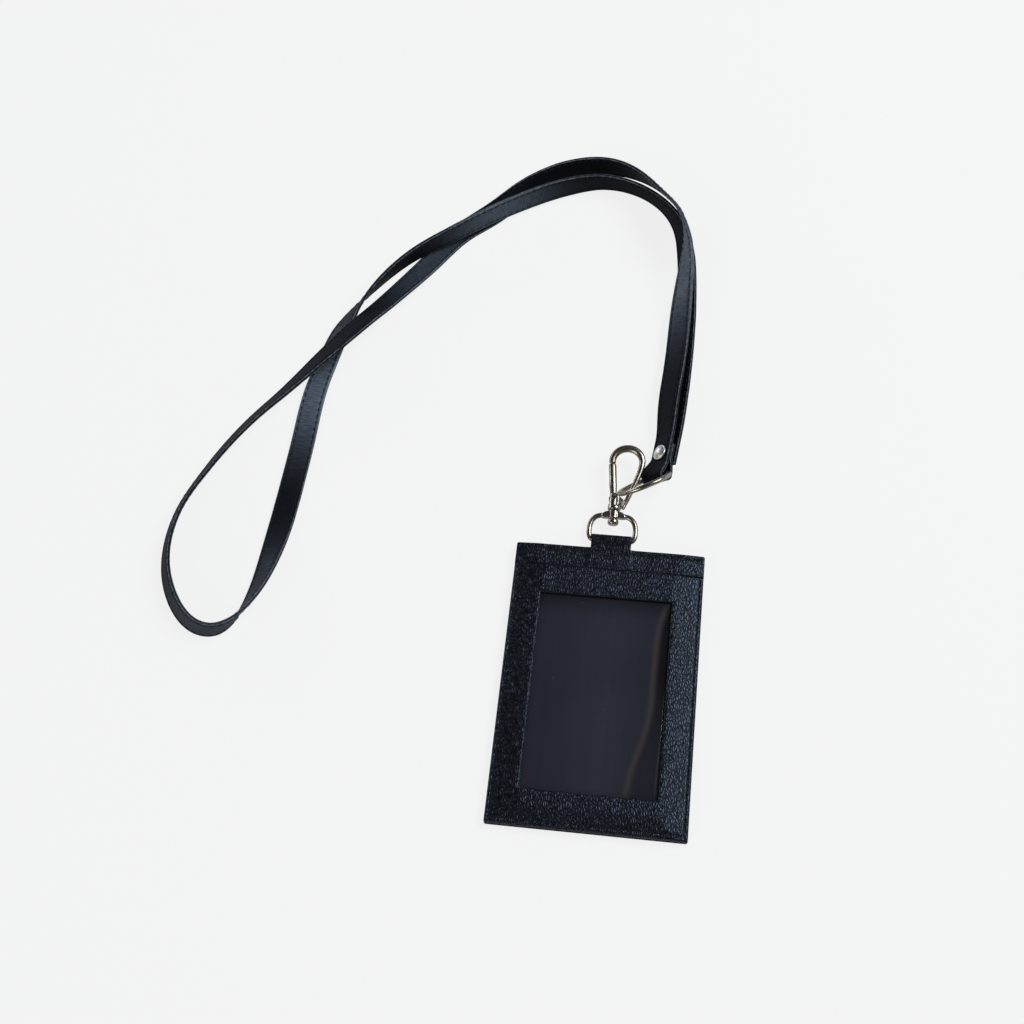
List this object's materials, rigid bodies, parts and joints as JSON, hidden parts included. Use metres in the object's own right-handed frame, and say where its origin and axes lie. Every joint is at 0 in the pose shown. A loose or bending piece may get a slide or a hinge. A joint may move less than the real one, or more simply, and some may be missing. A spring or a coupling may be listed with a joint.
{
  "type": "id badge holder",
  "caption": "Upright leather card holder with a clear window, hung by a tab and a swivel hook from a ring on a looped flat leather neck strap.",
  "frame": {"origin": "centre of the holder's flat back face, which lies on z = 0", "axes": "+Y from the holder to its clasp and strap, +Z out of the window, +X to the right seen from the window"},
  "size_m": [0.2204, 0.3034, 0.0224],
  "materials": {
    "leather": "pebbled, black",
    "board": "plain",
    "lining": "plain, black",
    "film": "clear",
    "metal": "polished dark nickel",
    "spring_steel": "bright"
  },
  "bodies": {
    "holder": {"back_panel": "leather", "stiffener_board": "board", "inner_lining": "lining", "edge_welt": "leather", "window_film": "film", "front_panel": "leather", "top_band": "leather", "hang_tab": "leather"},
    "eye": {"swivel_eye": "metal"},
    "hook": {"hook_body": "metal", "swivel_post": "metal", "gate_pin": "metal", "gate_spring": "spring_steel"},
    "gate": {"hook_gate": "metal"},
    "ring": {"strap_ring": "metal"},
    "strap": {"strap_end_loop": "leather", "strap_end_tail": "leather", "rivet_cap": "metal", "rivet_post": "metal", "lanyard_strap": "leather"}
  },
  "joints": [
    {"name": "eye_hinge", "type": "hinge", "parent": "holder", "child": "eye", "pos_m": [0, 0.06085, 0.0023], "axis": [1, 0, 0], "range_deg": [-100, 100]},
    {"name": "hook_swivel", "type": "hinge", "parent": "eye", "child": "hook", "pos_m": [0, 0.06085, 0.0023], "axis": [0, 0.9923, 0.1236], "continuous": true},
    {"name": "gate_hinge", "type": "hinge", "parent": "hook", "child": "gate", "pos_m": [-0.0006, 0.07822, 0.00446], "axis": [0, -0.1236, 0.9923], "range_deg": [-18, 0], "stiffness_Nm_per_rad": 0.004, "springref_deg": 11.46},
    {"name": "ring_swing", "type": "hinge", "parent": "hook", "child": "ring", "pos_m": [0.00852, 0.08905, 0.00581], "axis": [0.3084, 0.944, 0.1176], "range_deg": [-8, 30]},
    {"name": "strap_swing", "type": "hinge", "parent": "ring", "child": "strap", "pos_m": [0.01629, 0.08957, 0.00584], "axis": [0.7718, 0.0272, 0.6353], "range_deg": [-20, 20]}
  ]
}
